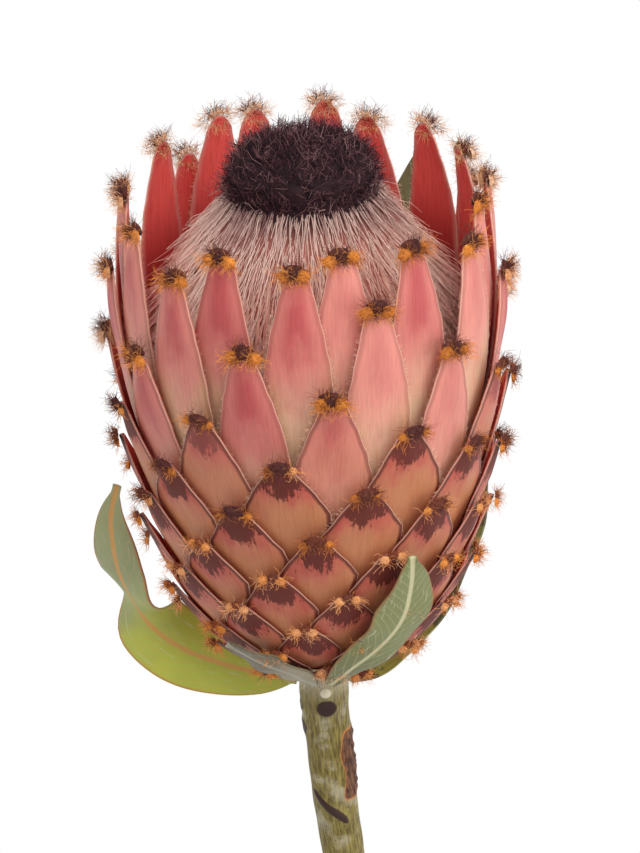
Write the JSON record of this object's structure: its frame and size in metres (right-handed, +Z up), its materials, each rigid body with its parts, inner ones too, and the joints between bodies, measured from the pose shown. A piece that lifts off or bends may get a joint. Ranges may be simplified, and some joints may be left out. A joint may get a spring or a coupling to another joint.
{
  "type": "protea flower",
  "caption": "Cut protea flower head with pink bracts tipped by hair tufts, a dark woolly dome of florets, leaves and a short stem, lying on its back.",
  "frame": {"origin": "middle of the underside of the box around the flower as it lies on a surface", "axes": "+Y along the flower from the cut stem to the tip, +Z up through the front of the head"},
  "size_m": [0.105, 0.2068, 0.1014],
  "materials": {
    "bract": "satin, rose-pink fading to cream, with a hair tuft at the tip",
    "scale": "satin, cream-pink with dark red-brown stains",
    "floret": "woolly, black-purple above pale silky hair",
    "stem": "woody, yellow-green with whitish bloom and brown scars",
    "leaf_green": "leathery, yellow-green",
    "leaf_grey": "leathery, grey-green with bloom"
  },
  "bodies": {
    "root": {"basal_scales": "scale", "bract_01": "bract", "bract_02": "bract", "bract_03": "bract", "bract_04": "bract", "bract_05": "bract", "bract_06": "bract", "bract_07": "bract", "bract_08": "bract", "bract_09": "bract", "bract_10": "bract", "bract_11": "bract", "bract_12": "bract", "bract_13": "bract", "bract_14": "bract", "bract_15": "bract", "bract_16": "bract", "bract_17": "bract", "bract_18": "bract", "bract_19": "bract", "bract_20": "bract", "bract_21": "bract", "bract_22": "bract", "bract_23": "bract", "bract_24": "bract", "bract_25": "bract", "bract_26": "bract", "bract_27": "bract", "bract_28": "bract", "bract_29": "bract", "bract_30": "bract", "bract_31": "bract", "bract_32": "bract", "bract_33": "bract", "bract_34": "bract", "bract_35": "bract", "bract_36": "bract", "bract_37": "bract", "bract_38": "bract", "bract_39": "bract", "bract_40": "bract", "bract_41": "bract", "bract_42": "bract", "bract_43": "bract", "bract_44": "bract", "bract_45": "bract", "bract_46": "bract", "bract_47": "bract", "bract_48": "bract", "bract_49": "bract", "bract_50": "bract", "floret_dome": "floret", "leaf_back_left": "leaf_green", "leaf_back_right": "leaf_green", "leaf_blotched_right": "leaf_green", "leaf_front_right": "leaf_grey", "leaf_remnant_left": "leaf_grey", "leaf_twisted_left": "leaf_green", "stem_and_receptacle": "stem"}
  },
  "joints": []
}
